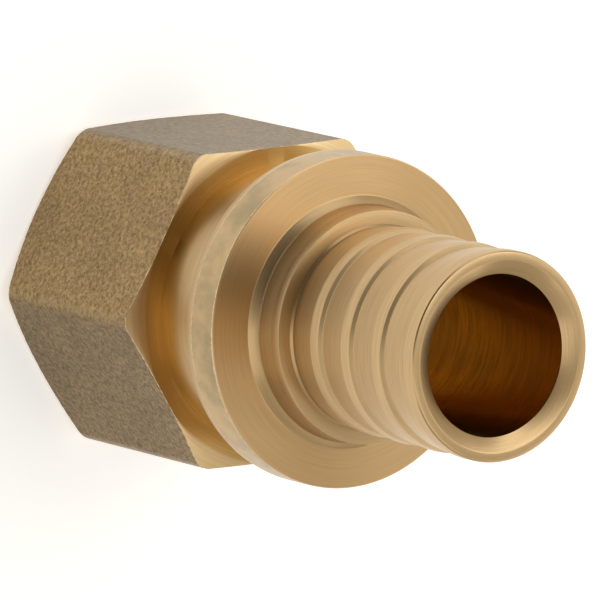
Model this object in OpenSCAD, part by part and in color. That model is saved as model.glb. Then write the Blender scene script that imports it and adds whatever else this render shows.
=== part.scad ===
// Female threaded adapter for a sleeve-pressed plastic pipe, in millimetres.
// The fitting stands on its hexagon end: z = 0 is the mouth of the female
// thread, +Z runs along the waterway to the tip of the ribbed pipe barb, and
// +X runs out through a corner of the hexagon.

/* [Hexagon] */
// Width across the flats, a 27 mm spanner size at its forged minus tolerance
hex_af = 26.6; // [25.6:0.1:32]
// Length of the hexagon
hex_len = 19.4; // [18.4:0.1:30]
// Rounding of the forged corners
hex_corner_r = 1.5; // [0.4:0.1:3]
// How far the flat ring on the front face runs past the flats
hex_ring_over = 0.1; // [0:0.05:0.6]
// Slope of the corners turned off round the front face
hex_front_slope = 15; // [5:1:35]
// How far inside the flats the rear face ends
hex_rear_in = 0.5; // [0.1:0.1:0.9]
// Slope of the corners turned off round the rear face
hex_rear_slope = 30; // [10:1:40]

/* [Female thread] */
// Major diameter of the half-inch parallel pipe thread
thread_major_d = 20.955; // [17:0.005:21.6]
// Pitch of the thread
thread_pitch = 1.814; // [1.337:0.001:2.309]
// Depth of full thread from the mouth
thread_depth = 15; // [8:0.5:15.5]
// How far the mouth's countersink opens past the thread
mouth_over = 0.2; // [0:0.05:0.5]
// Slope of the mouth's countersink and of the cone at the bottom
thread_cone_slope = 45; // [40:1:60]

/* [Jaw groove and collar] */
// Diameter of the neck between the hexagon and the collar
neck_d = 23.6; // [20:0.1:26]
// Width of the groove that takes the press tool's jaws
groove_w = 6.7; // [5:0.1:15]
// Fillet from the neck to the hexagon's front face
groove_fillet_r = 0.1; // [0.05:0.05:3]
// Diameter of the collar
collar_d = 28; // [26.6:0.1:36]
// Thickness of the collar, with the slight bevel behind its rim
collar_t = 4; // [1.7:0.1:8]
// Length of that bevel
collar_bevel_len = 0.9; // [0.3:0.1:1.2]
// How far the bevel falls below the rim
collar_bevel_drop = 0.15; // [0.05:0.05:0.4]
// How much the collar's front face rises from its rim to its middle
collar_rise = 0.25; // [0:0.05:1]
// Broken edge round the collar's rim
edge_break = 0.15; // [0.05:0.05:0.4]

/* [Shoulder ring] */
// Height of the shoulder's front edge over the barb's crests
shoulder_h = 1.05; // [0.4:0.05:2]
// Length of the shoulder ring, from the collar's rim to its front face
shoulder_len = 3.5; // [2.5:0.1:10]
// Length of the plain front stretch of the ring
shoulder_plain_len = 1; // [0.2:0.1:1.2]
// How much the ring swells towards the collar
shoulder_swell = 0.16; // [0.02:0.02:0.4]
// Bevel from the ring to the collar's front face
shoulder_bevel = 0.65; // [0.2:0.05:1]
// Small bevel at the foot of the shoulder's front face
shoulder_foot = 0.2; // [0.05:0.05:0.35]

/* [Pipe barb] */
// Diameter over the ribs' crests
barb_d = 17.5; // [16:0.1:21]
// Number of ribs
rib_n = 4; // [2:1:8]
// Distance from one rib to the next
rib_pitch = 4.4; // [3:0.1:8]
// Depth of a rib's low end below its crest
rib_depth = 0.3; // [0.14:0.02:0.6]
// Length of the steep wall that starts each rib
rib_wall_len = 0.35; // [0.05:0.05:1]
// Length of the gentle lead between that wall and the crest
rib_lead_len = 1; // [0.2:0.1:1.5]
// How far the lead starts below the crest
rib_lead_drop = 0.07; // [0.01:0.01:0.12]
// Width of the flat ring at the tip
tip_flat_w = 0.55; // [0.2:0.05:0.8]
// Rounding of the tip's outer edge
tip_edge_r = 0.25; // [0.1:0.05:0.3]

/* [Waterway] */
// Diameter of the bore through the barb
bore_d = 13.45; // [9:0.05:13.6]
// Slope of the countersink at the barb's tip
tip_cone_slope = 30; // [15:1:50]

/* [Hidden] */
$fn = 120;
// Thread depth per unit of pitch of a 55 degree pipe thread
PIPE_THREAD_RATIO = 0.640327;
HEX_SIDES = 6;
HEX_STEP = 360 / HEX_SIDES;
// A cutter runs this far past the face that it opens
CUT = 1;
// A corner's arc stands this far out of the flats, so that it crosses them
corner_proud = 0.012;

// Radii
flat_r = hex_af / 2;
blend_centre_r = (flat_r - hex_corner_r) / cos(HEX_STEP / 2);
corner_centre_r = blend_centre_r + corner_proud;
corner_r = corner_centre_r + hex_corner_r;
hex_ring_r = flat_r + hex_ring_over;
hex_rear_r = flat_r - hex_rear_in;
neck_r = neck_d / 2;
collar_r = collar_d / 2;
barb_r = barb_d / 2;
shoulder_r = barb_r + shoulder_h;
shoulder_root_r = shoulder_r + shoulder_swell;
rib_low_r = barb_r - rib_depth;
rib_start_r = barb_r - rib_lead_drop;
bore_r = bore_d / 2;
tip_cone_r = barb_r - tip_edge_r - tip_flat_w;
thread_major_r = thread_major_d / 2;
thread_minor_r = thread_major_r - PIPE_THREAD_RATIO * thread_pitch;
mouth_r = thread_major_r + mouth_over;
groove_fillet = min(groove_fillet_r, hex_ring_r - neck_r);

// Heights above the rear face
collar_rear_z = hex_len + groove_w;
collar_front_z = collar_rear_z + collar_t;
shoulder_bevel_z = collar_front_z + collar_rise;
shoulder_z = collar_front_z + shoulder_len;
tip_z = shoulder_z + rib_n * rib_pitch;

// Direction of a hexagon corner, or of a point turned a little from it
function toward(angle) = [cos(angle), sin(angle)];

// Height of a cone of the given slope over a radial step
function rise(step, slope) = step * tan(slope);

// Outline of one rib, from its low end, over its crest, to the top of its wall
function rib_outline(foot_z) = [
    [rib_low_r, foot_z],
    [barb_r, foot_z + rib_pitch - rib_wall_len - rib_lead_len],
    [rib_start_r, foot_z + rib_pitch - rib_wall_len],
];

// Hexagon with rounded corners: flats between tangent points, round corners
module hex_section() {
    polygon([
        for (i = [0 : HEX_SIDES - 1], side = [-1, 1])
            let (corner = i * HEX_STEP)
                blend_centre_r * toward(corner)
                    + hex_corner_r * toward(corner + side * HEX_STEP / 2)
    ]);
    for (i = [0 : HEX_SIDES - 1])
        translate(corner_centre_r * toward(i * HEX_STEP))
            circle(r = hex_corner_r);
}

// Envelope that the lathe leaves round the hexagon's corners
module hex_envelope() {
    clear_r = corner_r + CUT;
    rotate_extrude()
        polygon([
            [0, 0],
            [hex_rear_r, 0],
            [clear_r, rise(clear_r - hex_rear_r, hex_rear_slope)],
            [clear_r, hex_len - rise(clear_r - hex_ring_r, hex_front_slope)],
            [hex_ring_r, hex_len],
            [0, hex_len],
        ]);
}

module hexagon() {
    intersection() {
        linear_extrude(hex_len) hex_section();
        hex_envelope();
    }
}

// Half section of the neck, with its fillet on the hexagon's front face
module neck_section() {
    square([neck_r, collar_rear_z]);
    difference() {
        translate([neck_r, hex_len]) square(groove_fillet);
        translate([neck_r + groove_fillet, hex_len + groove_fillet])
            circle(r = groove_fillet);
    }
}

// Half section of the collar: slight rear bevel, broken edges, risen face
module collar_section() {
    polygon([
        [0, collar_rear_z],
        [collar_r - collar_bevel_drop - edge_break, collar_rear_z],
        [collar_r - collar_bevel_drop, collar_rear_z + edge_break],
        [collar_r, collar_rear_z + collar_bevel_len],
        [collar_r, collar_front_z - edge_break],
        [collar_r - edge_break, collar_front_z],
        [shoulder_root_r + shoulder_bevel, shoulder_bevel_z],
        [0, shoulder_bevel_z],
    ]);
}

// Half section of the shoulder ring that the pipe's end stops against
module shoulder_section() {
    polygon([
        [0, collar_rear_z],
        [shoulder_root_r + shoulder_bevel, collar_rear_z],
        [shoulder_root_r + shoulder_bevel, shoulder_bevel_z],
        [shoulder_root_r, shoulder_bevel_z + shoulder_bevel],
        [shoulder_r, shoulder_z - shoulder_plain_len],
        [shoulder_r, shoulder_z],
        [0, shoulder_z],
    ]);
}

// Half section of the ribbed barb: the last rib ends in the rounded tip
module barb_section() {
    last_foot_z = tip_z - rib_pitch;
    polygon(concat(
        [[0, collar_front_z], [rib_low_r, collar_front_z]],
        [for (i = [0 : rib_n - 2]) each rib_outline(shoulder_z + i * rib_pitch)],
        [
            [rib_low_r, last_foot_z],
            [barb_r, tip_z - rib_wall_len - rib_lead_len],
            [barb_r, tip_z - tip_edge_r],
            [barb_r - tip_edge_r, tip_z],
            [0, tip_z],
        ]
    ));
    translate([barb_r - tip_edge_r, tip_z - tip_edge_r])
        circle(r = tip_edge_r);
}

// Small bevel where the barb meets the shoulder's front face
module shoulder_foot_section() {
    polygon([
        [0, shoulder_z],
        [rib_low_r + shoulder_foot, shoulder_z],
        [rib_low_r, shoulder_z + shoulder_foot],
        [0, shoulder_z + shoulder_foot],
    ]);
}

// Everything turned on one axis in front of the hexagon
module turned_front() {
    rotate_extrude() {
        neck_section();
        collar_section();
        shoulder_section();
        shoulder_foot_section();
        barb_section();
    }
}

// Waterway: countersunk thread bore, cone at its bottom, bore and tip cone
module waterway() {
    mouth_len = rise(mouth_r - thread_minor_r, thread_cone_slope);
    bottom_len = rise(thread_minor_r - bore_r, thread_cone_slope);
    tip_cone_len = rise(tip_cone_r - bore_r, tip_cone_slope);
    rotate_extrude()
        polygon([
            [0, -CUT],
            [mouth_r, -CUT],
            [mouth_r, 0],
            [thread_minor_r, mouth_len],
            [thread_minor_r, thread_depth],
            [bore_r, thread_depth + bottom_len],
            [bore_r, tip_z - tip_cone_len],
            [tip_cone_r, tip_z],
            [tip_cone_r, tip_z + CUT],
            [0, tip_z + CUT],
        ]);
}

// One piece of brass, forged and then turned
module adapter_body() {
    color([0.78, 0.66, 0.44])
        difference() {
            union() {
                hexagon();
                turned_front();
            }
            waterway();
        }
}

adapter_body();
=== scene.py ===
"""Looks of the female threaded adapter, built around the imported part.

The adapter stands on its hexagon end in the part's frame: z = 0 is the mouth
of the female thread and +Z runs to the tip of the pipe barb. Sizes in the
classes are millimetres, and meshes are made in metres.
"""

import logging
import math
from dataclasses import dataclass, field
from enum import Enum

import bmesh
import bpy
from mathutils import Matrix, Vector


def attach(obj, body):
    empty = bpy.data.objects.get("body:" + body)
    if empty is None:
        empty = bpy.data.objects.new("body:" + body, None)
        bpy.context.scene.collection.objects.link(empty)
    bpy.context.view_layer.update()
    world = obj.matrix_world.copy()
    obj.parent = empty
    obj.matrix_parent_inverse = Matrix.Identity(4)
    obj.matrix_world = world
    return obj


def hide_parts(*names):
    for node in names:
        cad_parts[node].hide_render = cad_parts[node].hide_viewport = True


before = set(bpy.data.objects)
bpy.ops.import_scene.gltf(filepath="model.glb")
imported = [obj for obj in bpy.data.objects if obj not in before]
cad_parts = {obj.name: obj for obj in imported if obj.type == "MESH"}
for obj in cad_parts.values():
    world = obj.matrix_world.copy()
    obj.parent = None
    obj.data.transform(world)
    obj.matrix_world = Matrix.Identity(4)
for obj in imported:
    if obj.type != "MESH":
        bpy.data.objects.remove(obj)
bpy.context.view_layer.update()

MM = 0.001
NODE = "adapter_body"
BODY = "root"
LOG = logging.getLogger("adapter")

# Faces across a rounded corner of a turned outline
ROUND_SEGMENTS = 3
# A face this near to a plane or a radius counts as on it, in millimetres
TOUCHING = 0.01

Colour = tuple[float, float, float, float]
Span = tuple[float, float]


class Surface(Enum):
    """The finishes of the adapter, each with its material slot's number."""

    FORGED = 0
    TURNED = 1
    FACE = 2
    RIM = 3
    BORE = 4
    GROOVE = 5
    CONE = 6
    TIP = 7


@dataclass(frozen=True)
class Station:
    """One corner of a turned outline: its place, and how far it is rounded."""

    radius: float
    height: float
    round_over: float = 0.0


# Mesh helpers


def rise(step: float, slope: float) -> float:
    """Returns how far a cone of a slope in degrees rises over a radial step."""
    return step * math.tan(math.radians(slope))


def new_object(name: str, bm: bmesh.types.BMesh) -> bpy.types.Object:
    """Turns a bmesh into a linked object and frees the bmesh.

    Args:
        name: Name of the object and of its mesh.
        bm: The finished bmesh, in metres.

    Returns:
        The new object, at the origin.
    """
    mesh = bpy.data.meshes.new(name)
    bm.to_mesh(mesh)
    bm.free()
    piece = bpy.data.objects.new(name, mesh)
    bpy.context.scene.collection.objects.link(piece)
    return piece


def spun(stations: list[Station], steps: int) -> bmesh.types.BMesh:
    """Spins a closed outline about the Z axis into a closed shell.

    Args:
        stations: Corners of the outline in order, in millimetres.
        steps: Number of faces round the axis.

    Returns:
        The shell, in metres, with its normals outwards.
    """
    bm = bmesh.new()
    corners = [bm.verts.new((s.radius * MM, 0.0, s.height * MM)) for s in stations]
    for here, there in zip(corners, corners[1:] + corners[:1]):
        bm.edges.new((here, there))
    for width in sorted({s.round_over for s in stations if s.round_over}, reverse=True):
        sharp = [c for c, s in zip(corners, stations) if s.round_over == width]
        bmesh.ops.bevel(
            bm,
            geom=sharp,
            offset=width * MM,
            offset_type="OFFSET",
            segments=ROUND_SEGMENTS,
            profile=0.5,
            affect="VERTICES",
            material=-1,
        )
    bmesh.ops.spin(
        bm,
        geom=bm.verts[:] + bm.edges[:],
        cent=(0, 0, 0),
        axis=(0, 0, 1),
        dvec=(0, 0, 0),
        angle=math.tau,
        steps=steps,
        use_merge=True,
    )
    bmesh.ops.remove_doubles(bm, verts=bm.verts[:], dist=1e-7)
    bmesh.ops.recalc_face_normals(bm, faces=bm.faces[:])
    return bm


def cut(piece: bpy.types.Object, cutter: bpy.types.Object, operation: str) -> None:
    """Applies an exact boolean to a piece and removes its cutter.

    Args:
        piece: The object whose mesh is replaced by the result.
        cutter: The closed object that cuts or trims it.
        operation: DIFFERENCE or INTERSECT.
    """
    knife = piece.modifiers.new("cut", "BOOLEAN")
    knife.operation = operation
    knife.solver = "EXACT"
    knife.object = cutter
    bpy.context.view_layer.update()
    graph = bpy.context.evaluated_depsgraph_get()
    result = bpy.data.meshes.new_from_object(piece.evaluated_get(graph))
    piece.modifiers.remove(knife)
    old = piece.data
    piece.data = result
    bpy.data.meshes.remove(old)
    used = cutter.data
    bpy.data.objects.remove(cutter)
    bpy.data.meshes.remove(used)


# Sub-assemblies


@dataclass
class HexagonEnd:
    """The forged hexagon that a spanner holds, with its turned ends."""

    across_flats: float = 26.6
    length: float = 19.4
    corner_round: float = 1.5
    corner_segments: int = 10
    ring_radius: float = 13.4
    rear_radius: float = 12.8
    front_slope: float = 15.0
    rear_slope: float = 30.0
    blank_radius: float = 16.5
    mouth_radius: float = 10.6775
    cutter_spread: float = 1.6
    cutter_foot: float = -1.0
    cutter_height: float = 24.0

    def outline(self) -> list[Station]:
        """Lays out the turned blank that the flats are cut from.

        Returns:
            The corners from the thread's mouth to the front ring.
        """
        rear_rise = rise(self.blank_radius - self.rear_radius, self.rear_slope)
        front_drop = rise(self.blank_radius - self.ring_radius, self.front_slope)
        return [
            Station(self.mouth_radius, 0.0, 0.05),
            Station(self.rear_radius, 0.0, 0.12),
            Station(self.blank_radius, rear_rise),
            Station(self.blank_radius, self.length - front_drop),
            Station(self.ring_radius, self.length),
        ]

    def flats_cutter(self) -> bpy.types.Object:
        """Builds the ring-shaped cutter whose inside is the rounded hexagon.

        Returns:
            A closed object that leaves only the hexagon when it is taken away.
        """
        bm = bmesh.new()
        corner_distance = self.across_flats / math.sqrt(3)
        circle = bmesh.ops.create_circle(bm, segments=6, radius=corner_distance * MM)
        inner = circle["verts"]
        quarter = Matrix.Rotation(math.radians(90), 3, "Z")
        bmesh.ops.rotate(bm, cent=(0, 0, 0), matrix=quarter, verts=inner)
        # A corner turns by 60 degrees, so its arc starts at the tangent of half of that
        bmesh.ops.bevel(
            bm,
            geom=inner,
            offset=rise(self.corner_round, 30) * MM,
            offset_type="OFFSET",
            segments=self.corner_segments,
            profile=0.5,
            affect="VERTICES",
            material=-1,
        )
        ring = bmesh.ops.extrude_edge_only(bm, edges=bm.edges[:])["geom"]
        outer = [v for v in ring if isinstance(v, bmesh.types.BMVert)]
        bmesh.ops.scale(bm, vec=(self.cutter_spread, self.cutter_spread, 1.0), verts=outer)
        bmesh.ops.translate(bm, vec=(0, 0, self.cutter_foot * MM), verts=bm.verts[:])
        lifted = bmesh.ops.extrude_face_region(bm, geom=bm.faces[:])["geom"]
        top = [v for v in lifted if isinstance(v, bmesh.types.BMVert)]
        bmesh.ops.translate(bm, vec=(0, 0, self.cutter_height * MM), verts=top)
        bmesh.ops.recalc_face_normals(bm, faces=bm.faces[:])
        return new_object("flats_cutter", bm)


@dataclass
class JawGroove:
    """The neck and the collar, between which the press tool's jaw goes."""

    neck_radius: float = 11.8
    front_of_hexagon: float = 19.4
    collar_rear: float = 26.1
    bevel_drop: float = 0.15
    bevel_top: float = 27.0
    collar_front: float = 30.1
    collar_radius: float = 14.0
    edge_break: float = 0.15
    # Top of the painted shade, a deeper orange colour on the low neck between the hexagon and the
    # collar
    painted_shade_top: float = 21.75
    ring_margin: float = 0.1
    rim_margin: float = 0.05

    def outline(self) -> list[Station]:
        """Lays out the neck and the collar.

        Returns:
            The corners from the groove's inner corner to the collar's rim.
        """
        return [
            Station(self.neck_radius, self.front_of_hexagon, 0.02),
            Station(self.neck_radius, self.painted_shade_top),
            Station(self.neck_radius, self.collar_rear, 0.1),
            Station(self.collar_radius - self.bevel_drop, self.collar_rear, 0.15),
            Station(self.collar_radius, self.bevel_top, 0.05),
            Station(self.collar_radius, self.collar_front, self.edge_break),
        ]


@dataclass
class ShoulderRing:
    """The stepped ring on the collar's face that the pipe's end meets."""

    bevel_foot: tuple[float, float] = (10.61, 30.35)
    bevel_top: tuple[float, float] = (9.96, 31.0)
    plain_start: float = 32.6
    radius: float = 9.8
    front: float = 33.6
    foot_radius: float = 8.65

    def outline(self) -> list[Station]:
        """Lays out the ring.

        Returns:
            The corners from the collar's face to the foot of the barb.
        """
        return [
            Station(*self.bevel_foot, 0.05),
            Station(*self.bevel_top, 0.1),
            Station(self.radius, self.plain_start, 0.1),
            Station(self.radius, self.front, 0.08),
            Station(self.foot_radius, self.front),
        ]


@dataclass
class PipeBarb:
    """The ribbed barb that the pipe is pushed over."""

    foot: float = 33.6
    foot_bevel: float = 0.2
    start_radius: float = 8.47
    rib_pitch: float = 4.4
    rib_count: int = 4
    low_radius: float = 8.45
    crest_radius: float = 8.75
    lead_radius: float = 8.68
    crest_at: float = 3.05
    wall_at: float = 4.05
    tip: float = 51.2
    tip_round: float = 0.25
    tip_inner: float = 7.95

    def outline(self) -> list[Station]:
        """Lays out the ribs and the tip.

        Returns:
            The corners from the first rib's foot to the tip's inner edge.
        """
        stations = [Station(self.start_radius, self.foot + self.foot_bevel)]
        for rib in range(self.rib_count):
            low = self.foot + rib * self.rib_pitch
            if rib:
                stations.append(Station(self.low_radius, low, 0.03))
            stations.append(Station(self.crest_radius, low + self.crest_at, 0.06))
            if rib < self.rib_count - 1:
                stations.append(Station(self.lead_radius, low + self.wall_at, 0.05))
        stations.append(Station(self.crest_radius, self.tip, self.tip_round))
        stations.append(Station(self.tip_inner, self.tip, 0.04))
        return stations


@dataclass
class Waterway:
    """The way through: countersink, bore, cone and the drilled thread bore."""

    bore_radius: float = 6.725
    countersink_foot: float = 50.493
    cone_top: float = 17.591
    thread_bore_radius: float = 9.316
    thread_bottom: float = 15.0
    mouth_foot: float = 1.3615

    def outline(self) -> list[Station]:
        """Lays out the way through.

        Returns:
            The corners from the tip down to the thread's mouth.
        """
        return [
            Station(self.bore_radius, self.countersink_foot, 0.04),
            Station(self.bore_radius, self.cone_top),
            Station(self.thread_bore_radius, self.thread_bottom, 0.1),
            Station(self.thread_bore_radius, self.mouth_foot),
        ]


@dataclass
class FemaleThread:
    """The half-inch parallel pipe thread, cut by a tap with a tapered lead."""

    major_radius: float = 10.4775
    minor_radius: float = 9.316
    core_radius: float = 9.1
    pitch: float = 1.814
    flank_angle: float = 27.5
    crest_round: float = 0.04
    bottom: float = 13.6
    overrun: float = 2.0
    lead_length: float = 2.4
    lead_inset: float = 0.1
    lead_past: float = 0.6
    lead_margin: float = 0.5
    lead_hole: float = 0.5
    steps_per_turn: int = 96

    def profile(self) -> list[tuple[float, float]]:
        """Lays out one turn of the tap's outline.

        Returns:
            The radius and the height of each corner.
        """
        flank = rise(self.major_radius - self.core_radius, self.flank_angle)
        crest = (self.pitch - 2 * flank) / 2
        soft = self.crest_round
        return [
            (self.core_radius, 0.0),
            (self.core_radius, self.pitch - 2 * flank - crest),
            (self.major_radius - soft, self.pitch - flank - crest - soft / 2),
            (self.major_radius, self.pitch - flank - crest + soft),
            (self.major_radius, self.pitch - flank - soft),
            (self.major_radius - soft, self.pitch - flank + soft / 2),
            (self.core_radius, self.pitch),
        ]

    def tap(self) -> bpy.types.Object:
        """Builds the tap, a closed screw with flat ends and a tapered lead.

        Returns:
            The closed object that cuts the thread when it is taken away.
        """
        turns = math.ceil((self.bottom + self.overrun) / self.pitch) + 3
        start = -self.overrun - 2 * self.pitch
        bm = bmesh.new()
        points = [bm.verts.new((r * MM, 0.0, (start + z) * MM)) for r, z in self.profile()]
        for here, there in zip(points, points[1:]):
            bm.edges.new((here, there))
        bmesh.ops.spin(
            bm,
            geom=bm.verts[:] + bm.edges[:],
            cent=(0, 0, 0),
            axis=(0, 0, 1),
            dvec=(0, 0, self.pitch * MM / self.steps_per_turn),
            angle=math.tau * turns,
            steps=self.steps_per_turn * turns,
            use_merge=False,
        )
        bmesh.ops.remove_doubles(bm, verts=bm.verts[:], dist=1e-6)
        for height, normal in ((-self.overrun / 2, (0, 0, -1)), (self.bottom, (0, 0, 1))):
            trimmed = bmesh.ops.bisect_plane(
                bm,
                geom=bm.verts[:] + bm.edges[:] + bm.faces[:],
                dist=1e-8,
                plane_co=(0, 0, height * MM),
                plane_no=normal,
                clear_outer=True,
            )
            rim = [e for e in trimmed["geom_cut"] if isinstance(e, bmesh.types.BMEdge)]
            bmesh.ops.contextual_create(bm, geom=rim)
        bmesh.ops.recalc_face_normals(bm, faces=bm.faces[:])
        screw = new_object("tap", bm)
        cut(screw, self.lead(), "INTERSECT")
        return screw

    def lead(self) -> bpy.types.Object:
        """Builds the body of revolution that tapers the tap's end.

        Returns:
            The closed object that is kept of the tap.
        """
        wide = self.major_radius + self.lead_margin
        end = self.bottom + self.lead_past
        outline = [
            Station(self.lead_hole, -self.overrun),
            Station(wide, -self.overrun),
            Station(wide, self.bottom - self.lead_length),
            Station(self.minor_radius - self.lead_inset, end),
            Station(self.lead_hole, end),
        ]
        return new_object("tap_lead", spun(outline, self.steps_per_turn))


# Node building


class NodeBench:
    """A small helper that adds and links nodes in one tree."""

    def __init__(self, tree: bpy.types.NodeTree) -> None:
        """Starts with an empty tree.

        Args:
            tree: The material's or the group's node tree.
        """
        self.tree = tree
        tree.nodes.clear()

    def add(self, kind: str, **settings: object) -> bpy.types.Node:
        """Adds a node and sets its properties.

        Args:
            kind: The node's type name, without ShaderNode.
            **settings: Properties of the node.

        Returns:
            The new node.
        """
        prefix = "" if kind.startswith("Node") else "ShaderNode"
        node = self.tree.nodes.new(prefix + kind)
        for name, value in settings.items():
            setattr(node, name, value)
        return node

    def feed(self, socket: bpy.types.NodeSocket, value: object) -> None:
        """Links an output to a socket, or sets the socket's constant.

        Args:
            socket: The input to feed.
            value: The output to link, or the constant.
        """
        if isinstance(value, bpy.types.NodeSocket):
            self.tree.links.new(value, socket)
        else:
            socket.default_value = value

    def math(self, operation: str, *values: object) -> bpy.types.NodeSocket:
        """Adds a Math node.

        Args:
            operation: The Math node's operation.
            *values: Outputs or numbers for its inputs.

        Returns:
            The result's socket.
        """
        node = self.add("Math", operation=operation)
        for socket, value in zip(node.inputs, values):
            self.feed(socket, value)
        return node.outputs[0]

    def vector(self, operation: str, *values: object) -> bpy.types.Node:
        """Adds a Vector Math node.

        Args:
            operation: The Vector Math node's operation.
            *values: Outputs or vectors for its inputs.

        Returns:
            The new node.
        """
        node = self.add("VectorMath", operation=operation)
        for socket, value in zip(node.inputs, values):
            self.feed(socket, value)
        return node

    def ramp(self, value: object, span: Span, result: Span = (0.0, 1.0)) -> bpy.types.NodeSocket:
        """Maps a value smoothly from one range to another.

        Args:
            value: The output or number to map.
            span: Start and end of the input range.
            result: The results at the start and at the end.

        Returns:
            The result's socket.
        """
        node = self.add("MapRange", interpolation_type="SMOOTHSTEP")
        self.feed(node.inputs["Value"], value)
        self.feed(node.inputs["From Min"], span[0])
        self.feed(node.inputs["From Max"], span[1])
        self.feed(node.inputs["To Min"], result[0])
        self.feed(node.inputs["To Max"], result[1])
        return node.outputs["Result"]

    def noise(
        self, vector: object, scale: float, detail: float, roughness: float = 0.6
    ) -> bpy.types.NodeSocket:
        """Adds a three-dimensional noise.

        Args:
            vector: The output that gives the place.
            scale: How many waves of the coarsest noise there are per unit.
            detail: How many finer noises are added.
            roughness: How strong each finer noise is.

        Returns:
            The noise's socket, about 0 to 1.
        """
        node = self.add("TexNoise", noise_dimensions="3D")
        self.feed(node.inputs["Vector"], vector)
        self.feed(node.inputs["Scale"], scale)
        self.feed(node.inputs["Detail"], detail)
        self.feed(node.inputs["Roughness"], roughness)
        return node.outputs["Fac"]

    def mix(self, factor: object, first: object, second: object) -> bpy.types.NodeSocket:
        """Mixes two colours.

        Args:
            factor: How much of the second colour shows.
            first: The first colour.
            second: The second colour.

        Returns:
            The colour's socket.
        """
        node = self.add("Mix", data_type="RGBA")
        self.feed(node.inputs[0], factor)
        self.feed(node.inputs[6], first)
        self.feed(node.inputs[7], second)
        return node.outputs[2]

    def blend(self, factor: object, first: object, second: object) -> bpy.types.NodeSocket:
        """Mixes two values.

        Args:
            factor: How much of the second value counts.
            first: The first value.
            second: The second value.

        Returns:
            The value's socket.
        """
        node = self.add("Mix", data_type="FLOAT")
        self.feed(node.inputs[0], factor)
        self.feed(node.inputs[2], first)
        self.feed(node.inputs[3], second)
        return node.outputs[0]

    def bump(self, height: object, strength: float, depth: float) -> bpy.types.NodeSocket:
        """Turns a height into a normal.

        Args:
            height: The output that gives the height.
            strength: How much of the bump shows.
            depth: The bump's depth, in millimetres.

        Returns:
            The normal's socket.
        """
        node = self.add("Bump")
        self.feed(node.inputs["Strength"], strength)
        self.feed(node.inputs["Distance"], depth * MM)
        self.feed(node.inputs["Height"], height)
        return node.outputs[0]


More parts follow.
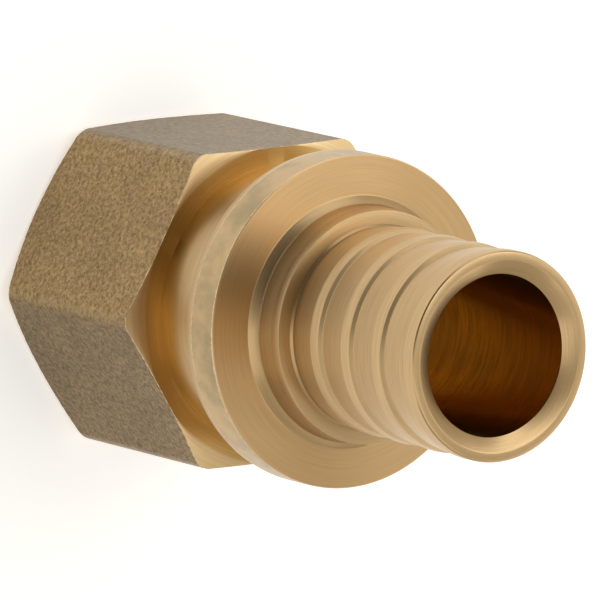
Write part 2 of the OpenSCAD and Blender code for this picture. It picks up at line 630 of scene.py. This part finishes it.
class GroupShelf:
    """The shader node groups that more than one finish uses, built once."""

    # Weight of the radius beside the height in the place across the rings
    radius_weight = 1.7
    # Waves of the broken rings per radian
    arc_waves = 1.6
    # Waves per millimetre of the ragged light line of a burr and a painted highlight, and its
    # range of widths
    burr_and_highlight_waves = 2.6
    burr_and_highlight_reach = (0.1, 1.4)

    def __init__(self) -> None:
        """Builds every group."""
        self.place = self.build_place()
        self.turning = self.build_turning()
        self.burr_and_highlight = self.build_burr_and_highlight()

    def blank(
        self, name: str, inputs: dict[str, str], outputs: dict[str, str]
    ) -> tuple[bpy.types.NodeTree, NodeBench, bpy.types.Node, bpy.types.Node]:
        """Starts a group with named sockets.

        Args:
            name: Name of the group.
            inputs: Socket types by input name.
            outputs: Socket types by output name.

        Returns:
            The group, its bench, its input node and its output node.
        """
        group = bpy.data.node_groups.new(name, "ShaderNodeTree")
        for label, kind in inputs.items():
            group.interface.new_socket(label, in_out="INPUT", socket_type="NodeSocket" + kind)
        for label, kind in outputs.items():
            group.interface.new_socket(label, in_out="OUTPUT", socket_type="NodeSocket" + kind)
        bench = NodeBench(group)
        source = bench.add("NodeGroupInput")
        sink = bench.add("NodeGroupOutput")
        return group, bench, source, sink

    def build_place(self) -> bpy.types.NodeTree:
        """Builds the group that gives a point's place on the lathe.

        Returns:
            A group with the place in millimetres, the radius, the height, the
            coordinate across the turning marks and the angle round the axis.
        """
        values = dict.fromkeys(("Radius", "Height", "Across", "Angle"), "Float")
        group, bench, _, sink = self.blank("lathe_place", {}, {"Place": "Vector", **values})
        coords = bench.add("TexCoord").outputs["Object"]
        place = bench.vector("SCALE", coords)
        place.inputs["Scale"].default_value = 1 / MM
        parts = bench.add("SeparateXYZ")
        bench.feed(parts.inputs[0], place.outputs[0])
        flat = bench.add("CombineXYZ")
        bench.feed(flat.inputs[0], parts.outputs[0])
        bench.feed(flat.inputs[1], parts.outputs[1])
        radius = bench.vector("LENGTH", flat.outputs[0]).outputs["Value"]
        across = bench.math("MULTIPLY_ADD", radius, self.radius_weight, parts.outputs[2])
        angle = bench.math("ARCTAN2", parts.outputs[1], parts.outputs[0])
        bench.feed(sink.inputs["Place"], place.outputs[0])
        bench.feed(sink.inputs["Radius"], radius)
        bench.feed(sink.inputs["Height"], parts.outputs[2])
        bench.feed(sink.inputs["Across"], across)
        bench.feed(sink.inputs["Angle"], angle)
        return group

    def build_turning(self) -> bpy.types.NodeTree:
        """Builds the group of the fine rings that a lathe tool leaves.

        Returns:
            A group whose Height feeds a Bump node and whose Tone is a mask.
        """
        group, bench, source, sink = self.blank(
            "turning_marks",
            {"Rings per mm": "Float", "Breaks": "Float"},
            {"Height": "Float", "Tone": "Float"},
        )
        where = bench.add("Group", node_tree=self.place)
        rings = bench.add("TexNoise", noise_dimensions="1D")
        bench.feed(rings.inputs["W"], where.outputs["Across"])
        bench.feed(rings.inputs["Scale"], source.outputs["Rings per mm"])
        bench.feed(rings.inputs["Detail"], 4.0)
        bench.feed(rings.inputs["Roughness"], 0.7)
        arc = bench.add("CombineXYZ")
        bench.feed(arc.inputs[0], bench.math("MULTIPLY", where.outputs["Angle"], self.arc_waves))
        count = bench.math("MULTIPLY", where.outputs["Across"], source.outputs["Rings per mm"])
        bench.feed(arc.inputs[1], count)
        broken = bench.noise(arc.outputs[0], 1.0, 2.0, 0.5)
        height = bench.blend(source.outputs["Breaks"], rings.outputs["Fac"], broken)
        bench.feed(sink.inputs["Height"], height)
        bench.feed(sink.inputs["Tone"], broken)
        return group

    def build_burr_and_highlight(self) -> bpy.types.NodeTree:
        """Builds the group of the ragged light line beside a turned edge, partly a burr and
        partly a painted highlight.

        Returns:
            A group whose Mask fades out over Width from where Distance is 0.
        """
        group, bench, source, sink = self.blank(
            "edge_burr_and_highlight",
            {"Distance": "Float", "Width": "Float"},
            {"Mask": "Float"},
        )
        where = bench.add("Group", node_tree=self.place)
        ragged = bench.noise(where.outputs["Place"], self.burr_and_highlight_waves, 3.0)
        share = bench.ramp(ragged, (0.35, 0.65), self.burr_and_highlight_reach)
        reach = bench.math("MULTIPLY", source.outputs["Width"], share)
        near = bench.math("DIVIDE", source.outputs["Distance"], reach)
        bench.feed(sink.inputs["Mask"], bench.ramp(near, (0.4, 1.0), (1.0, 0.0)))
        return group

    def burr_and_highlight_mask(self, bench: NodeBench, distance: object, width: float) -> bpy.types.NodeSocket:
        """Adds the group of burrs and painted highlights to a material.

        Args:
            bench: The material's bench.
            distance: The output that gives the distance from the edge.
            width: The width of the burr and painted highlight, in millimetres.

        Returns:
            The mask's socket.
        """
        node = bench.add("Group", node_tree=self.burr_and_highlight)
        bench.feed(node.inputs["Distance"], distance)
        bench.feed(node.inputs["Width"], width)
        return node.outputs["Mask"]


# Finishes


def bare_metal(name: str) -> tuple[bpy.types.Material, NodeBench, bpy.types.Node]:
    """Starts a material of bare metal.

    Args:
        name: Name of the material.

    Returns:
        The material, its bench and its Principled node.
    """
    material = bpy.data.materials.new(name)
    material.use_nodes = True
    bench = NodeBench(material.node_tree)
    shader = bench.add("BsdfPrincipled")
    out = bench.add("OutputMaterial")
    bench.feed(out.inputs["Surface"], shader.outputs[0])
    shader.inputs["Metallic"].default_value = 1.0
    return material, bench, shader


@dataclass(frozen=True)
class TurnedBrass:
    """Brass as the lathe leaves it, with fine rings and an even gloss."""

    name: str = "turned_brass"
    colour: Colour = (0.57, 0.4, 0.21, 1.0)
    roughness: float = 0.3
    rougher: float = 0.06
    anisotropy: float = 0.62
    rings_per_mm: float = 5.0
    ring_depth: float = 0.002
    relief: float = 0.25
    breaks: float = 0.4
    dulling: float = 0.88
    above_shade_colour: Colour | None = None
    shade_fade: Span = (20.6, 21.7)

    def material(self, shelf: GroupShelf) -> bpy.types.Material:
        """Builds the material.

        Args:
            shelf: The shared node groups.

        Returns:
            The finished material.
        """
        material, bench, shader = bare_metal(self.name)
        shader.inputs["Anisotropic"].default_value = self.anisotropy
        marks = bench.add("Group", node_tree=shelf.turning)
        marks.inputs["Rings per mm"].default_value = self.rings_per_mm
        marks.inputs["Breaks"].default_value = self.breaks
        dull = tuple(c * self.dulling for c in self.colour[:3]) + (1.0,)
        tone = bench.ramp(marks.outputs["Tone"], (0.35, 0.7))
        colour = bench.mix(tone, self.colour, dull)
        # Painted shade: fades from the deeper colour low in the groove to the plainer colour
        # above it
        if self.above_shade_colour:
            where = bench.add("Group", node_tree=shelf.place)
            share = bench.ramp(where.outputs["Height"], self.shade_fade)
            colour = bench.mix(share, colour, self.above_shade_colour)
        bench.feed(shader.inputs["Base Color"], colour)
        glosses = (self.roughness, self.roughness + self.rougher)
        gloss = bench.ramp(marks.outputs["Tone"], (0.3, 0.75), glosses)
        bench.feed(shader.inputs["Roughness"], gloss)
        normal = bench.bump(marks.outputs["Height"], self.relief, self.ring_depth)
        bench.feed(shader.inputs["Normal"], normal)
        place = bench.add("TexCoord").outputs["Object"]
        ring = bench.vector("CROSS_PRODUCT", (0.0, 0.0, 1.0), place)
        facing = bench.add("NewGeometry").outputs["Normal"]
        along = bench.vector("CROSS_PRODUCT", facing, ring.outputs[0])
        tangent = bench.vector("NORMALIZE", along.outputs[0])
        bench.feed(shader.inputs["Tangent"], tangent.outputs[0])
        return material


@dataclass(frozen=True)
class RolledRim:
    """The collar's rim, which is matt and greyer and has ragged light edges, partly burrs and
    partly painted highlights.
    """

    name: str = "rolled_rim"
    colour: Colour = (0.52, 0.37, 0.195, 1.0)
    dark: Colour = (0.35, 0.265, 0.15, 1.0)
    burr_and_highlight: Colour = (0.7, 0.52, 0.3, 1.0)
    roughness: float = 0.34
    clouds_per_mm: float = 0.22
    dents_per_mm: float = 2.4
    dent_depth: float = 0.02
    relief: float = 0.5
    rear: float = 27.0
    front: float = 30.0
    rear_burr_and_highlight: float = 0.08
    front_burr_and_highlight: float = 0.09

    def material(self, shelf: GroupShelf) -> bpy.types.Material:
        """Builds the material.

        Args:
            shelf: The shared node groups.

        Returns:
            The finished material.
        """
        material, bench, shader = bare_metal(self.name)
        shader.inputs["Roughness"].default_value = self.roughness
        where = bench.add("Group", node_tree=shelf.place)
        cloud = bench.noise(where.outputs["Place"], self.clouds_per_mm, 4.0)
        plain = bench.mix(bench.ramp(cloud, (0.38, 0.66)), self.colour, self.dark)
        past_rear = bench.math("SUBTRACT", where.outputs["Height"], self.rear)
        to_front = bench.math("SUBTRACT", self.front, where.outputs["Height"])
        rear = shelf.burr_and_highlight_mask(bench, past_rear, self.rear_burr_and_highlight)
        front = shelf.burr_and_highlight_mask(bench, to_front, self.front_burr_and_highlight)
        # Painted highlight together with burrs: ragged light lines along the rim's rear and front
        # edges
        edge = bench.math("MAXIMUM", rear, front)
        bench.feed(shader.inputs["Base Color"], bench.mix(edge, plain, self.burr_and_highlight))
        dents = bench.noise(where.outputs["Place"], self.dents_per_mm, 3.0, 0.5)
        bench.feed(shader.inputs["Normal"], bench.bump(dents, self.relief, self.dent_depth))
        return material


@dataclass(frozen=True)
class ForgedSkin:
    """The dull, grained skin of the forged hexagon, light at its edges from wear and painted
    highlights.
    """

    name: str = "forged_skin"
    light: Colour = (0.45, 0.305, 0.138, 1.0)
    dark: Colour = (0.17, 0.108, 0.04, 1.0)
    worn_and_highlight: Colour = (0.72, 0.56, 0.34, 1.0)
    roughness: float = 0.38
    worn_roughness: float = 0.26
    clouds_per_mm: float = 0.25
    cloud_levels: Span = (1.0, 0.86)
    coarse_per_mm: float = 2.475
    fine_per_mm: float = 5.94
    fine_share: float = 0.4
    tone_span: Span = (0.32, 0.68)
    grain_depth: float = 0.26
    relief: float = 0.9
    painted_side_shades: Span = (0.7, 1.08)
    side_reliefs: Span = (0.42, 1.2)
    burr_and_highlight_width: float = 0.12
    corner_wear_and_highlight: float = 0.12
    length: float = 19.4
    ring_radius: float = 13.4
    front_slope: float = 15.0
    rear_radius: float = 12.8
    rear_slope: float = 30.0
    corner_radius: float = 15.0
    corner_reach: float = 15.15

    def material(self, shelf: GroupShelf) -> bpy.types.Material:
        """Builds the material.

        Args:
            shelf: The shared node groups.

        Returns:
            The finished material.
        """
        material, bench, shader = bare_metal(self.name)
        where = bench.add("Group", node_tree=shelf.place)
        grain = self.pebbled(bench, where)
        tone = bench.ramp(grain, self.tone_span)
        clouds = bench.noise(where.outputs["Place"], self.clouds_per_mm, 3.0)
        cloud = bench.ramp(clouds, (0.35, 0.7), self.cloud_levels)
        side = self.shade_and_relief_side(bench, where)
        shade = bench.vector("SCALE", bench.mix(tone, self.dark, self.light))
        # Painted shade: every second side is set lighter and the sides between darker
        level = bench.math("MULTIPLY", cloud, bench.ramp(side, (0.0, 1.0), self.painted_side_shades))
        bench.feed(shade.inputs["Scale"], level)
        # Painted highlight together with wear: a lighter colour along the edges to the turned
        # ends and on the rounded corners
        edge = self.worn_and_highlit_edges(bench, where, shelf)
        bench.feed(shader.inputs["Base Color"], bench.mix(edge, shade.outputs[0], self.worn_and_highlight))
        glosses = (self.roughness, self.worn_roughness)
        bench.feed(shader.inputs["Roughness"], bench.ramp(edge, (0.0, 1.0), glosses))
        height = bench.math("MULTIPLY", grain, bench.ramp(side, (0.0, 1.0), self.side_reliefs))
        bench.feed(shader.inputs["Normal"], bench.bump(height, self.relief, self.grain_depth))
        return material

    def shade_and_relief_side(self, bench: NodeBench, where: bpy.types.Node) -> bpy.types.NodeSocket:
        """Masks every second side, which gets a rougher grain and a painted lighter shade, while
        the sides between get a painted darker shade.

        Args:
            bench: The material's bench.
            where: The node that gives the place on the lathe.

        Returns:
            The mask's socket.
        """
        turned = bench.math("MULTIPLY_ADD", where.outputs["Angle"], 3.0, 1.5 * math.pi)
        return bench.ramp(bench.math("COSINE", turned), (-0.2, 0.2))

    def pebbled(self, bench: NodeBench, where: bpy.types.Node) -> bpy.types.NodeSocket:
        """Builds the height of the pebbled grain that blasting leaves.

        Args:
            bench: The material's bench.
            where: The node that gives the place on the lathe.

        Returns:
            The height's socket, about 0 to 1.
        """
        coarse = bench.noise(where.outputs["Place"], self.coarse_per_mm, 2.0)
        fine = bench.noise(where.outputs["Place"], self.fine_per_mm, 2.0)
        return bench.blend(self.fine_share, coarse, fine)

    def worn_and_highlit_edges(
        self, bench: NodeBench, where: bpy.types.Node, shelf: GroupShelf
    ) -> bpy.types.NodeSocket:
        """Masks the light edges at the turned ends and on the corners, partly burrs and wear and
        partly painted highlights.

        Args:
            bench: The material's bench.
            where: The node that gives the place on the lathe.
            shelf: The shared node groups.

        Returns:
            The mask's socket.
        """
        radius = where.outputs["Radius"]
        height = where.outputs["Height"]
        front_top = self.length + rise(self.ring_radius, self.front_slope)
        rear_foot = -rise(self.rear_radius, self.rear_slope)
        front_edge = bench.math("MULTIPLY_ADD", radius, -rise(1.0, self.front_slope), front_top)
        rear_edge = bench.math("MULTIPLY_ADD", radius, rise(1.0, self.rear_slope), rear_foot)
        to_front = bench.math("SUBTRACT", front_edge, height)
        past_rear = bench.math("SUBTRACT", height, rear_edge)
        front = shelf.burr_and_highlight_mask(bench, to_front, self.burr_and_highlight_width)
        rear = shelf.burr_and_highlight_mask(bench, past_rear, self.burr_and_highlight_width)
        burrs_and_highlights = bench.math("MAXIMUM", front, rear)
        # Painted highlight together with wear on the rounded corners
        reach = (self.corner_radius, self.corner_reach)
        corner = bench.ramp(radius, reach, (0.0, self.corner_wear_and_highlight))
        return bench.math("MAXIMUM", burrs_and_highlights, corner)


# The adapter


@dataclass
class Adapter:
    """The whole adapter: one piece of brass, forged and then turned."""

    hexagon: HexagonEnd = field(default_factory=HexagonEnd)
    groove: JawGroove = field(default_factory=JawGroove)
    shoulder: ShoulderRing = field(default_factory=ShoulderRing)
    barb: PipeBarb = field(default_factory=PipeBarb)
    waterway: Waterway = field(default_factory=Waterway)
    thread: FemaleThread = field(default_factory=FemaleThread)
    steps: int = 240
    flat_edge: float = 0.05
    sharp_angle: float = 24.0

    def build(self, shelf: GroupShelf) -> bpy.types.Object:
        """Turns the blank, cuts its flats and its thread, and dresses it.

        Args:
            shelf: The shared node groups.

        Returns:
            The finished adapter.
        """
        outline = (
            self.hexagon.outline()
            + self.groove.outline()
            + self.shoulder.outline()
            + self.barb.outline()
            + self.waterway.outline()
        )
        piece = new_object("adapter", spun(outline, self.steps))
        cut(piece, self.hexagon.flats_cutter(), "DIFFERENCE")
        cut(piece, self.thread.tap(), "DIFFERENCE")
        self.soften(piece)
        self.dress(piece, shelf)
        return piece

    def surface_of(self, face: bmesh.types.BMFace) -> Surface:
        """Tells which finish a face has from where it lies.

        Args:
            face: A face of the finished mesh.

        Returns:
            The face's finish.
        """
        if self.on_side(face):
            return Surface.FORGED
        middle = face.calc_center_median() / MM
        radius = math.hypot(middle.x, middle.y)
        front = self.hexagon.length
        countersink = self.waterway.countersink_foot
        inwards = face.normal.x * middle.x + face.normal.y * middle.y < -0.01 * radius
        inside = radius < self.thread.major_radius + TOUCHING and middle.z < countersink
        if inside and inwards:
            return Surface.BORE
        by_neck = radius > self.groove.neck_radius - self.groove.ring_margin
        low_on_neck = front < middle.z < self.groove.painted_shade_top
        if by_neck and abs(middle.z - front) < TOUCHING:
            return Surface.GROOVE
        if radius < self.hexagon.ring_radius and low_on_neck:
            return Surface.GROOVE
        if radius > self.hexagon.ring_radius and middle.z < front:
            return Surface.CONE
        in_countersink = radius < self.barb.tip_inner and middle.z > countersink
        if in_countersink or middle.z > self.barb.tip - self.barb.tip_round:
            return Surface.TIP
        on_collar = self.groove.bevel_top < middle.z < self.shoulder.bevel_foot[1] + TOUCHING
        if on_collar and radius > self.groove.collar_radius - self.groove.rim_margin:
            return Surface.RIM
        if on_collar and face.normal.z > 0.9:
            return Surface.FACE
        return Surface.TURNED

    def on_side(self, face: bmesh.types.BMFace) -> bool:
        """Tells whether a face lies on the hexagon's forged sides.

        Args:
            face: A face of the cut mesh.

        Returns:
            True for the flats and the rounded corners between them.
        """
        middle = face.calc_center_median() / MM
        radius = math.hypot(middle.x, middle.y)
        in_hexagon = middle.z < self.hexagon.length and radius > self.hexagon.rear_radius
        return in_hexagon and abs(face.normal.z) < 0.1

    def bounds_flat(self, edge: bmesh.types.BMEdge) -> bool:
        """Tells whether an edge lies between a forged side and a turned face.

        Args:
            edge: An edge of the cut mesh.

        Returns:
            True where only one of its two faces is forged.
        """
        forged = [self.on_side(face) for face in edge.link_faces]
        return len(forged) == 2 and forged[0] != forged[1]

    def soften(self, piece: bpy.types.Object) -> None:
        """Breaks the edges where the flats meet the turned ends.

        Args:
            piece: The cut adapter.
        """
        bm = bmesh.new()
        bm.from_mesh(piece.data)
        bmesh.ops.remove_doubles(bm, verts=bm.verts[:], dist=2e-7)
        bmesh.ops.dissolve_degenerate(bm, dist=1e-7, edges=bm.edges[:])
        bmesh.ops.bevel(
            bm,
            geom=[edge for edge in bm.edges if self.bounds_flat(edge)],
            offset=self.flat_edge * MM,
            offset_type="OFFSET",
            segments=1,
            profile=0.5,
            affect="EDGES",
            clamp_overlap=True,
            material=-1,
        )
        bm.to_mesh(piece.data)
        bm.free()

    def finishes(self) -> dict[Surface, ForgedSkin | TurnedBrass | RolledRim]:
        """Lists the finishes.

        Returns:
            The finish of each surface.
        """
        return {
            Surface.FORGED: ForgedSkin(),
            Surface.TURNED: TurnedBrass(),
            Surface.FACE: TurnedBrass(
                name="turned_face",
                colour=(0.585, 0.392, 0.195, 1.0),
                roughness=0.28,
                anisotropy=0.75,
                rings_per_mm=7.0,
                ring_depth=0.004,
                breaks=0.5,
            ),
            Surface.RIM: RolledRim(),
            # Painted shade: the ring and the low neck between the hexagon and the collar get a
            # deeper orange colour that fades higher up
            Surface.GROOVE: TurnedBrass(
                name="turned_groove",
                colour=(0.6, 0.385, 0.14, 1.0),
                roughness=0.28,
                anisotropy=0.4,
                above_shade_colour=(0.54, 0.38, 0.2, 1.0),
            ),
            # Painted highlight: the cone gets a lighter, warmer copy of the turned brass
            Surface.CONE: TurnedBrass(
                name="turned_cone",
                colour=(0.66, 0.48, 0.26, 1.0),
                roughness=0.28,
                anisotropy=0.5,
            ),
            Surface.TIP: TurnedBrass(
                name="turned_tip",
                roughness=0.27,
                anisotropy=0.4,
                ring_depth=0.004,
            ),
            Surface.BORE: TurnedBrass(
                name="drilled_bore",
                colour=(0.68, 0.4, 0.055, 1.0),
                roughness=0.17,
                anisotropy=0.6,
                rings_per_mm=3.0,
                dulling=0.65,
            ),
        }

    def dress(self, piece: bpy.types.Object, shelf: GroupShelf) -> None:
        """Gives every face its finish and smooths the shading.

        Args:
            piece: The cut adapter.
            shelf: The shared node groups.
        """
        finishes = self.finishes()
        piece.data.materials.clear()
        for surface in Surface:
            piece.data.materials.append(finishes[surface].material(shelf))
        bm = bmesh.new()
        bm.from_mesh(piece.data)
        for face in bm.faces:
            face.material_index = self.surface_of(face).value
            face.smooth = True
        bm.to_mesh(piece.data)
        bm.free()
        piece.data.set_sharp_from_angle(angle=math.radians(self.sharp_angle))
        even = piece.modifiers.new("even_normals", "WEIGHTED_NORMAL")
        even.keep_sharp = True


# The studio


@dataclass(frozen=True)
class Lamp:
    """One soft lamp: its direction and distance, its sides and its brightness."""

    name: str
    azimuth: float
    elevation: float
    width: float
    height: float
    brightness: float
    distance: float = 0.8
    aim_height: float = 0.025

    @property
    def power(self) -> float:
        """Returns the power in watts that gives the lamp its brightness."""
        return self.brightness * math.pi * self.width * self.height


@dataclass
class Studio:
    """The pale floor, the soft lamps and the camera."""

    lens: float = 720.0
    sensor: float = 36.0
    stand: tuple[float, float, float] = (0.1332016, -0.5704753, 0.8338128)
    right: tuple[float, float, float] = (-0.40370221, 0.71586262, 0.56970627)
    down: tuple[float, float, float] = (0.90504857, 0.40357363, 0.1342215)
    forward: tuple[float, float, float] = (-0.13383428, 0.56979736, -0.81081401)
    floor_half: float = 1.5
    floor_top: float = -0.1
    floor_colour: Colour = (0.85, 0.85, 0.85, 1.0)
    floor_glow: float = 0.46
    room_tint: Colour = (1.0, 0.93, 0.8, 1.0)
    room_level: float = 0.56
    dark_side: tuple[float, float, float] = (-0.3, -0.93, 0.2)
    dark_spread: Span = (55.0, 22.0)
    dark_level: float = 0.06
    lamps: tuple[Lamp, ...] = (
        Lamp("main_lamp", 168, 57, 0.65, 0.7, 1.15),
        Lamp("side_lamp", 195, 22, 0.6, 0.4, 0.65),
        Lamp("far_lamp", 130, 40, 0.5, 0.4, 0.7),
        Lamp("high_lamp", 47, 62, 0.4, 0.45, 0.78),
        Lamp("near_lamp", 325, 46, 0.5, 0.6, 0.6),
        Lamp("back_lamp", 88, 24, 0.4, 0.6, 0.68),
    )

    def camera(self) -> bpy.types.Object:
        """Places the camera at the photograph's viewing angle.

        Returns:
            The camera.
        """
        lens = bpy.data.cameras.new("camera")
        lens.lens = self.lens
        lens.sensor_width = self.sensor
        lens.sensor_height = self.sensor
        lens.clip_start = 0.05
        lens.clip_end = 20.0
        eye = bpy.data.objects.new("camera", lens)
        bpy.context.scene.collection.objects.link(eye)
        axes = Matrix((self.right, -Vector(self.down), -Vector(self.forward)))
        eye.matrix_world = Matrix.Translation(self.stand) @ axes.transposed().to_4x4()
        bpy.context.scene.camera = eye
        return eye

    def floor(self) -> bpy.types.Object:
        """Lays the plain pale floor.

        Returns:
            The floor.
        """
        bm = bmesh.new()
        bmesh.ops.create_grid(bm, x_segments=1, y_segments=1, size=self.floor_half)
        bmesh.ops.translate(bm, vec=(0, 0, self.floor_top * MM), verts=bm.verts[:])
        sheet = new_object("floor", bm)
        material = bpy.data.materials.new("floor_white")
        material.use_nodes = True
        bench = NodeBench(material.node_tree)
        plain = bench.add("BsdfDiffuse")
        plain.inputs["Color"].default_value = self.floor_colour
        glow = bench.add("Emission")
        rays = bench.add("LightPath").outputs
        seen = bench.math("MAXIMUM", rays["Is Camera Ray"], rays["Is Glossy Ray"])
        seen = bench.math("MAXIMUM", seen, rays["Is Transmission Ray"])
        bench.feed(glow.inputs["Strength"], bench.math("MULTIPLY", seen, self.floor_glow))
        both = bench.add("AddShader")
        bench.feed(both.inputs[0], plain.outputs[0])
        bench.feed(both.inputs[1], glow.outputs[0])
        out = bench.add("OutputMaterial")
        bench.feed(out.inputs["Surface"], both.outputs[0])
        sheet.data.materials.append(material)
        return sheet

    def hang(self, lamp: Lamp) -> bpy.types.Object:
        """Hangs one soft lamp that faces the adapter.

        Args:
            lamp: Where the lamp hangs, how large it is and how bright.

        Returns:
            The lamp's object.
        """
        light = bpy.data.lights.new(lamp.name, "AREA")
        light.shape = "RECTANGLE"
        light.size = lamp.width
        light.size_y = lamp.height
        light.energy = lamp.power
        piece = bpy.data.objects.new(lamp.name, light)
        bpy.context.scene.collection.objects.link(piece)
        swing = math.radians(lamp.azimuth)
        lift = math.radians(lamp.elevation)
        flat = math.cos(lift) * lamp.distance
        height = math.sin(lift) * lamp.distance
        place = Vector((flat * math.cos(swing), flat * math.sin(swing), height))
        piece.location = place + Vector((0, 0, lamp.aim_height))
        piece.rotation_euler = place.to_track_quat("Z", "Y").to_euler()
        return piece

    def world(self) -> None:
        """Fills the room with a soft, slightly warm light, darker on one side."""
        world = bpy.data.worlds.new("studio")
        bpy.context.scene.world = world
        world.use_nodes = True
        bench = NodeBench(world.node_tree)
        back = bench.add("Background")
        back.inputs["Color"].default_value = self.room_tint
        way = bench.add("TexCoord").outputs["Generated"]
        near = bench.vector("DOT_PRODUCT", way, Vector(self.dark_side).normalized())
        spread = tuple(math.cos(math.radians(angle)) for angle in self.dark_spread)
        level = bench.ramp(near.outputs["Value"], spread, (self.room_level, self.dark_level))
        bench.feed(back.inputs["Strength"], level)
        out = bench.add("OutputWorld")
        bench.feed(out.inputs["Surface"], back.outputs[0])

    def build(self) -> None:
        """Sets up the floor, the lamps, the world and the picture's view."""
        self.camera()
        self.floor()
        self.world()
        for lamp in self.lamps:
            self.hang(lamp)
        bpy.context.scene.view_settings.view_transform = "Standard"


def main() -> None:
    logging.basicConfig(level=logging.INFO, format="%(name)s: %(message)s")
    Studio().build()
    shelf = GroupShelf()
    adapter = Adapter().build(shelf)
    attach(adapter, BODY)
    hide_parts(NODE)
    mesh = adapter.data
    LOG.info("adapter: %d faces, %d vertices", len(mesh.polygons), len(mesh.vertices))


if __name__ == "__main__":
    main()
